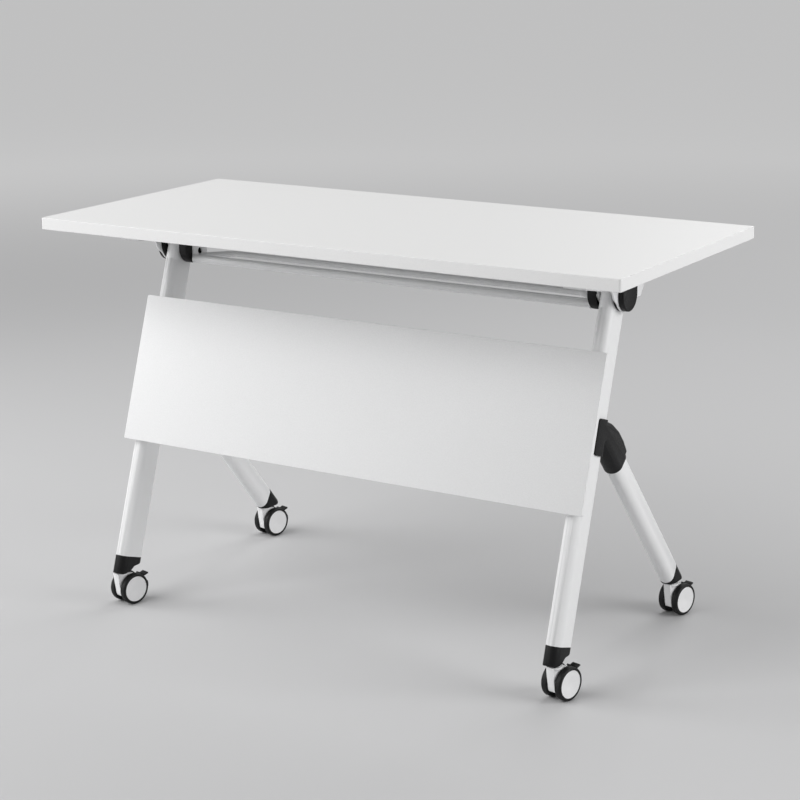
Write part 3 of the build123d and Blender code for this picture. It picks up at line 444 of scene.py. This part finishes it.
def copyNode(nodeName, name):
    piece = bpy.data.objects.new(name, frame["nodes"][nodeName].data.copy())
    bpy.context.collection.objects.link(piece)
    editAll(piece)
    bpy.ops.mesh.remove_doubles(threshold=meshWork["weld"])
    bpy.ops.mesh.dissolve_limited(angle_limit=math.radians(meshWork["flat"]))
    bpy.ops.object.mode_set(mode="OBJECT")
    return piece


def softNode(nodeName, name, width, steps):
    piece = copyNode(nodeName, name)
    roundEdges(piece, width, steps)
    smoothSides(piece)
    standIn(piece, nodeName)
    return piece


def sideNames(node):
    return [(f"{node}_{side}", f"{side.capitalize()}") for side in ("right", "left")]


# pressed and moulded pieces that keep their solids' shapes and get worked edges

edgeWork = {  # node: piece, rounding, steps
    "arm": ("armPressing", 0.0006, 2),
    "outer_cover": ("outerDCover", 0.0004, 2),
    "inner_cover": ("innerDCover", 0.0004, 2),
    "leg_head": ("legHead", 0.0012, 3),
    "main_leg": ("mainLegTube", 0.0003, 1),
    "rear_leg": ("rearLegTube", 0.0003, 1),
    "joint_cover": ("jointSocket", 0.0012, 3),
    "front_foot_cap": ("frontFootCap", 0.0018, 3),
    "rear_foot_cap": ("rearFootCap", 0.0018, 3),
}

rimWork = {  # raised rim round the faces of the outer D covers
    "wide": 0.0018,
    "deep": 0.0006,
    "near": 0.00001,
}

plainWork = {  # node: piece, rounding, steps
    "tie_tube": ("tieTube", 0.0005, 2),
    "panel_blocks": ("panelBlocks", 0.0010, 2),
    "modesty_panel": ("modestyPanel", 0.0014, 3),
}

worked = {}
for node, (name, width, steps) in edgeWork.items():
    for nodeName, side in sideNames(node):
        worked[name + side] = softNode(nodeName, name + side, width, steps)
for side, outwards in (("Right", 1), ("Left", -1)):
    cover = worked["outerDCover" + side]
    editAll(cover)
    farthest = max(outwards * vertex.co.x for vertex in cover.data.vertices)
    chooseFaces(cover, lambda face: outwards * face.center.x > farthest - rimWork["near"])
    bpy.ops.mesh.inset(thickness=rimWork["wide"])
    bpy.ops.transform.translate(value=(-outwards * rimWork["deep"], 0, 0))
    smoothSides(cover)
for node, (name, width, steps) in plainWork.items():
    worked[name] = softNode(node, name, width, steps)
coat(worked["modestyPanel"], "textureCoat")
print("arms, covers, caps, heads and panel are worked")


# weld beads where the tie tube meets its plates

weldWork = {
    "middle": (0.428, -0.033, 0.648),
    "radius": 0.0082,
    "bead": 0.0013,
    "sides": 48,
    "beadSides": 12,
    "smooth": 60.0,
}

dropSelection()
for side, outwards in (("Right", 1), ("Left", -1)):
    x, y, z = weldWork["middle"]
    bpy.ops.mesh.primitive_torus_add(
        location=(outwards * x, y, z),
        rotation=(0, math.radians(90), 0),
        major_radius=weldWork["radius"],
        minor_radius=weldWork["bead"],
        major_segments=weldWork["sides"],
        minor_segments=weldWork["beadSides"],
    )
    bead = bpy.context.object
    bead.name = "tieWeld" + side
    applyPlace(bead)
    smoothSides(bead, weldWork["smooth"])
    coat(bead, "whitePowderCoat")
    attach(bead, "top")
print("weld beads are on")


# screws: modelled head up with the socket on top, then stood in their places

screwWork = {  # head radius, head height, shank radius, shank length, socket radius, socket depth
    "wood": (0.0046, 0.0028, 0.0025, 0.0180, 0.0020, 0.0014),
    "cover": (0.0036, 0.0022, 0.0020, 0.0220, 0.0017, 0.0012),
    "panel": (0.0055, 0.0040, 0.0030, 0.0680, 0.0029, 0.0024),
    "sleeve": (0.0040, 0.0020, 0.0020, 0.0050, 0.0017, 0.0011),
}

screwSides = {
    "head": 48,
    "socket": 6,
    "shank": 24,
    "edge": 0.00025,
    "edgeSteps": 2,
}

panelScrewWork = {  # seats on the panel blocks, measured along the leaning right-hand leg
    "x": 0.467,
    "pivot": (-0.024, 0.677),
    "lean": 18.8,
    "along": (-0.1598, -0.3498),
    "behind": 0.030,
}

screwPlaces = {  # kind: where the heads sit on the right-hand side and which way they face
    "wood": [((0.469, y, 0.7250), (0, 0, -1)) for y in (-0.152, -0.096, 0.072, 0.152)],
    "cover": [((0.428, y, 0.703), (-1, 0, 0)) for y in (-0.0435, -0.0075)],
    "panel": [],
    "sleeve": [((0.449, -0.0297406, 0.3826497), (-1, 0, 0))],
}
legLean = math.radians(panelScrewWork["lean"])
pivotY, pivotZ = panelScrewWork["pivot"]
behind = panelScrewWork["behind"]
for along in panelScrewWork["along"]:
    seat = (
        panelScrewWork["x"],
        pivotY + along * math.sin(legLean) + behind * math.cos(legLean),
        pivotZ + along * math.cos(legLean) - behind * math.sin(legLean),
    )
    screwPlaces["panel"].append((seat, (0, math.cos(legLean), -math.sin(legLean))))


def modelScrew(kind):
    headWide, headTall, shankWide, shankLong, socketWide, socketDeep = screwWork[kind]
    dropSelection()
    bpy.ops.mesh.primitive_cylinder_add(
        vertices=screwSides["head"],
        radius=headWide,
        depth=headTall,
        location=(0, 0, headTall / 2),
    )
    screw = bpy.context.object
    applyPlace(screw)
    dropSelection()
    bpy.ops.mesh.primitive_cylinder_add(
        vertices=screwSides["socket"],
        radius=socketWide,
        depth=2 * socketDeep,
        location=(0, 0, headTall),
    )
    punch = bpy.context.object
    applyPlace(punch)
    takeUp(screw)
    socket = screw.modifiers.new("socket", "BOOLEAN")
    socket.operation = "DIFFERENCE"
    socket.object = punch
    bpy.ops.object.modifier_apply(modifier="socket")
    bpy.data.objects.remove(punch)
    roundEdges(screw, screwSides["edge"], screwSides["edgeSteps"])
    dropSelection()
    bpy.ops.mesh.primitive_cylinder_add(
        vertices=screwSides["shank"],
        radius=shankWide,
        depth=shankLong,
        location=(0, 0, -shankLong / 2),
    )
    shank = bpy.context.object
    applyPlace(shank)
    takeUp(shank)
    screw.select_set(True)
    bpy.context.view_layer.objects.active = screw
    bpy.ops.object.join()
    return screw


def placeScrews(name, nodeName, kinds):
    copies = []
    for kind in kinds:
        pattern = modelScrew(kind)
        for seat, facing in screwPlaces[kind]:
            for outwards in (1, -1):
                copy = bpy.data.objects.new(name, pattern.data.copy())
                bpy.context.collection.objects.link(copy)
                point = Vector((outwards * seat[0], seat[1], seat[2]))
                turn = Vector((outwards * facing[0], facing[1], facing[2])).to_track_quat("Z", "Y")
                copy.data.transform(Matrix.Translation(point) @ turn.to_matrix().to_4x4())
                copies.append(copy)
        bpy.data.objects.remove(pattern)
    takeUp(copies[0])
    for copy in copies[1:]:
        copy.select_set(True)
    bpy.ops.object.join()
    smoothSides(copies[0])
    standIn(copies[0], nodeName)


placeScrews("topScrews", "top_screws", ("wood", "cover"))
placeScrews("frameScrews", "frame_screws", ("panel", "sleeve"))
print("screws are in")


# casters

casterWork = {
    "turn": -13.0,
    "stems": {
        "front_right": (0.4705, -0.24265),
        "front_left": (-0.4705, -0.24265),
        "rear_right": (0.4705, 0.23047),
        "rear_left": (-0.4705, 0.23047),
    },
    "trail": 0.018,
    "axleHeight": 0.030,
    "wheelMiddle": 0.015,  # from the caster's middle plane
    "bodyRound": 0.0012,
    "pedalRound": 0.0008,
    "roundSteps": 3,
    "sides": 96,
    "endFace": 0.001,  # square metres from which a flat face is a wheel's end
}

tyreWork = {
    "radius": 0.030,
    "thick": 0.013,
    "wall": 0.0052,
    "shoulder": 0.0030,
    "shoulderSteps": 6,
    "lipWide": 0.0007,
    "lipHeight": 0.0003,
}

hubWork = {
    "radius": 0.0247,
    "thick": 0.012,
    "flange": 0.0010,
    "dish": 0.0005,
    "ring": 0.0160,
    "crown": 0.0002,
    "edge": 0.0004,
    "edgeSteps": 2,
}


def standCaster(corner):
    x, y = casterWork["stems"][corner]
    return Matrix.Translation((x, y, 0)) @ Matrix.Rotation(math.radians(casterWork["turn"]), 4, "Z")


def isEnd(face):
    return face.area > casterWork["endFace"]


def modelTyre():
    work = tyreWork
    middle = Vector((casterWork["wheelMiddle"], casterWork["trail"], casterWork["axleHeight"]))
    dropSelection()
    bpy.ops.mesh.primitive_cylinder_add(
        vertices=casterWork["sides"],
        radius=work["radius"],
        depth=work["thick"],
        location=middle,
        rotation=(0, math.radians(90), 0),
    )
    tyre = bpy.context.object
    applyPlace(tyre)
    bpy.ops.object.mode_set(mode="EDIT")
    for side in (1, -1):
        chooseFaces(tyre, lambda face: face.normal.x * side > 0.9 and isEnd(face))
        bpy.ops.mesh.inset(thickness=work["wall"])
        bpy.ops.mesh.delete(type="FACE")
    inner = work["radius"] - work["wall"]

    def fromAxle(point):
        return math.hypot(point.y - middle.y, point.z - middle.z)

    chooseEdges(tyre, lambda a, b: fromAxle(a) < inner * 1.05 and fromAxle(b) < inner * 1.05)
    bpy.ops.mesh.bridge_edge_loops()
    bpy.ops.mesh.select_all(action="SELECT")
    bpy.ops.mesh.normals_make_consistent(inside=False)
    outer = work["radius"] * 0.99

    def onRim(a, b):
        return abs(a.x - b.x) < meshWork["fineWeld"] and min(fromAxle(a), fromAxle(b)) > outer

    chooseEdges(tyre, onRim)
    bpy.ops.mesh.bevel(offset=work["shoulder"], segments=work["shoulderSteps"])
    chooseFaces(tyre, lambda face: face.normal.x > 0.99)
    bpy.ops.mesh.inset(thickness=work["lipWide"])
    bpy.ops.transform.translate(value=(work["lipHeight"], 0, 0))
    bpy.ops.object.mode_set(mode="OBJECT")
    return tyre


def modelHub():
    work = hubWork
    dropSelection()
    bpy.ops.mesh.primitive_cylinder_add(
        vertices=casterWork["sides"],
        radius=work["radius"],
        depth=work["thick"],
        location=(casterWork["wheelMiddle"], casterWork["trail"], casterWork["axleHeight"]),
        rotation=(0, math.radians(90), 0),
    )
    hub = bpy.context.object
    applyPlace(hub)
    bpy.ops.object.mode_set(mode="EDIT")
    chooseFaces(hub, lambda face: face.normal.x > 0.9 and isEnd(face))
    bpy.ops.mesh.inset(thickness=work["flange"])
    bpy.ops.mesh.inset(thickness=work["dish"])
    bpy.ops.transform.translate(value=(-work["dish"], 0, 0))
    bpy.ops.mesh.inset(thickness=work["ring"])
    bpy.ops.transform.translate(value=(work["crown"], 0, 0))
    bpy.ops.mesh.inset(thickness=work["dish"])
    bpy.ops.transform.translate(value=(-work["crown"], 0, 0))
    bpy.ops.object.mode_set(mode="OBJECT")
    roundEdges(hub, work["edge"], work["edgeSteps"])
    coat(hub, "casterWhite")
    hub.data.materials.append(finishes["casterBlack"])
    for face in hub.data.polygons:
        if face.normal.x < -0.5:
            face.material_index = 1
    return hub


def placeWheelPiece(pattern, name, corner, side):
    piece = bpy.data.objects.new(name, pattern.data.copy())
    bpy.context.collection.objects.link(piece)
    flip = Matrix.Identity(4) if side == "a" else Matrix.Scale(-1, 4, Vector((1, 0, 0)))
    piece.data.transform(standCaster(corner) @ flip)
    editAll(piece)
    bpy.ops.mesh.remove_doubles(threshold=meshWork["fineWeld"])
    bpy.ops.mesh.normals_make_consistent(inside=False)
    bpy.ops.object.mode_set(mode="OBJECT")
    smoothSides(piece)
    return piece


tyrePattern = modelTyre()
hubPattern = modelHub()
for corner in casterWork["stems"]:
    label = "".join(word.capitalize() for word in corner.split("_"))
    for side in ("a", "b"):
        tyre = placeWheelPiece(tyrePattern, f"tyre{label}{side.upper()}", corner, side)
        standIn(tyre, f"caster_{corner}_tyre_{side}")
        hub = placeWheelPiece(hubPattern, f"hub{label}{side.upper()}", corner, side)
        standIn(hub, f"caster_{corner}_hub_{side}")
    for node, name, width in (
        ("body", "casterBody", casterWork["bodyRound"]),
        ("brake_pedal", "brakePedal", casterWork["pedalRound"]),
    ):
        softNode(f"caster_{corner}_{node}", name + label, width, casterWork["roundSteps"])
for pattern in (tyrePattern, hubPattern):
    bpy.data.objects.remove(pattern)
print("casters are done")
